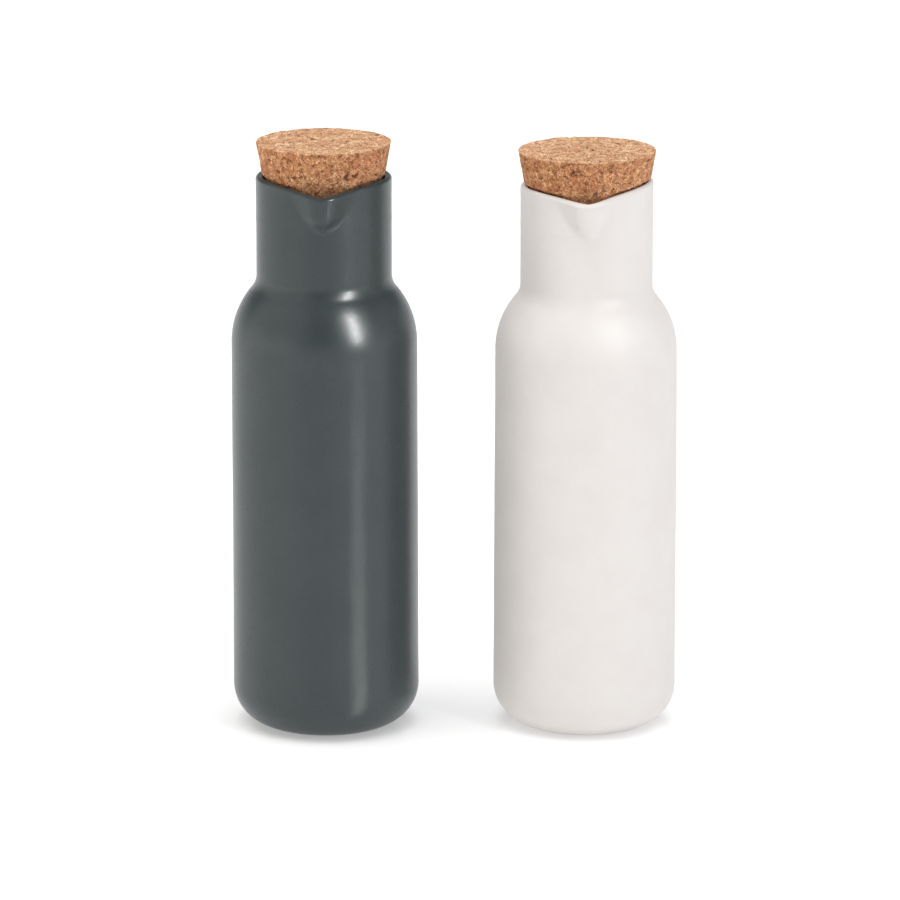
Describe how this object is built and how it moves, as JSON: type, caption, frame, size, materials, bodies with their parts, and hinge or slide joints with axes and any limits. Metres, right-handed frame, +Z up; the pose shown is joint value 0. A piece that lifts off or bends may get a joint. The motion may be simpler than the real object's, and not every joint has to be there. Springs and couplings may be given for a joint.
{
  "type": "cruet set",
  "caption": "Pair of slim stoneware bottles for oil and vinegar, each with a pinched pouring beak and a tapered cork stopper.",
  "frame": {"origin": "on the table, at the middle of the box around the two bottles", "axes": "+Z up, +X from the grey bottle to the white one, beaks pour towards -Y"},
  "size_m": [0.1526, 0.064, 0.2039],
  "materials": {
    "grey_glaze": "satin",
    "white_glaze": "satin",
    "cork": "matte"
  },
  "bodies": {
    "grey_bottle": {"grey_bottle": "grey_glaze"},
    "grey_stopper": {"grey_stopper": "cork"},
    "white_bottle": {"white_bottle": "white_glaze"},
    "white_stopper": {"white_stopper": "cork"}
  },
  "joints": [
    {"name": "grey_stopper_pull", "type": "slide", "parent": "grey_bottle", "child": "grey_stopper", "axis": [0, 0, 1], "range_m": [0, 0.06]},
    {"name": "white_bottle_lift", "type": "slide", "parent": "grey_bottle", "child": "white_bottle", "axis": [0, 0, 1], "range_m": [0, 0.25]},
    {"name": "white_stopper_pull", "type": "slide", "parent": "white_bottle", "child": "white_stopper", "axis": [0, 0, 1], "range_m": [0, 0.06]}
  ]
}
